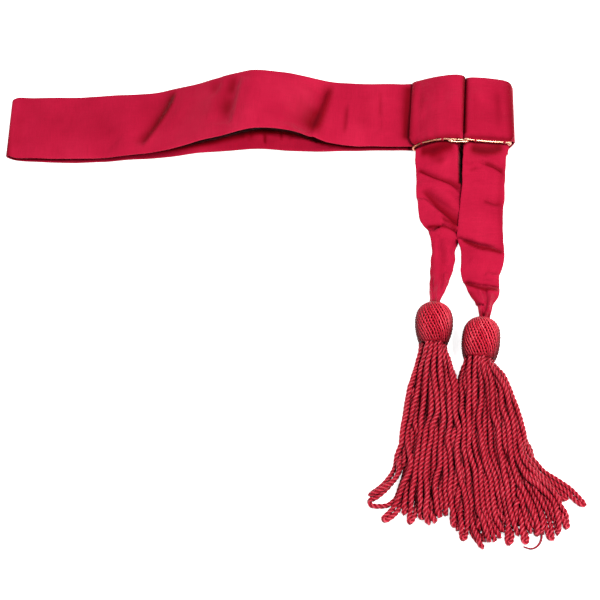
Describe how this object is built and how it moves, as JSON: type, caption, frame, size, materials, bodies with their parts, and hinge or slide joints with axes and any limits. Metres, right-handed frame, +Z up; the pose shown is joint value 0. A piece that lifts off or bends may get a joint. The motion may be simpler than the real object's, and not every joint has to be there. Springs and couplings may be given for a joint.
{
  "type": "waist sash",
  "caption": "Crimson ribbed-silk ceremonial waist sash laid flat and folded, with a strap keeper, gilt wire rings and tapering tails that end in corded tassels.",
  "frame": {"origin": "centre of the bounding box, on the surface that the sash lies on", "axes": "+X along the folded band from its soft fold towards the keeper, +Y away from the tassels across the band, +Z up from the surface"},
  "size_m": [0.5249, 0.4924, 0.044],
  "materials": {
    "silk": "ribbed crimson silk with a soft pinkish sheen",
    "netted_head": "netted crimson silk thread over a turned core",
    "cord": "three-ply twisted crimson silk cord",
    "gilt_wire": "polished gilt"
  },
  "bodies": {
    "root": {"band_lower": "silk", "band_upper": "silk", "strap_left": "silk", "strap_right": "silk", "tail_left": "silk", "tail_right": "silk", "ring_left": "gilt_wire", "ring_right": "gilt_wire", "link": "gilt_wire", "head_left": "netted_head", "head_right": "netted_head", "skirt_left": "cord", "skirt_right": "cord"}
  },
  "joints": []
}
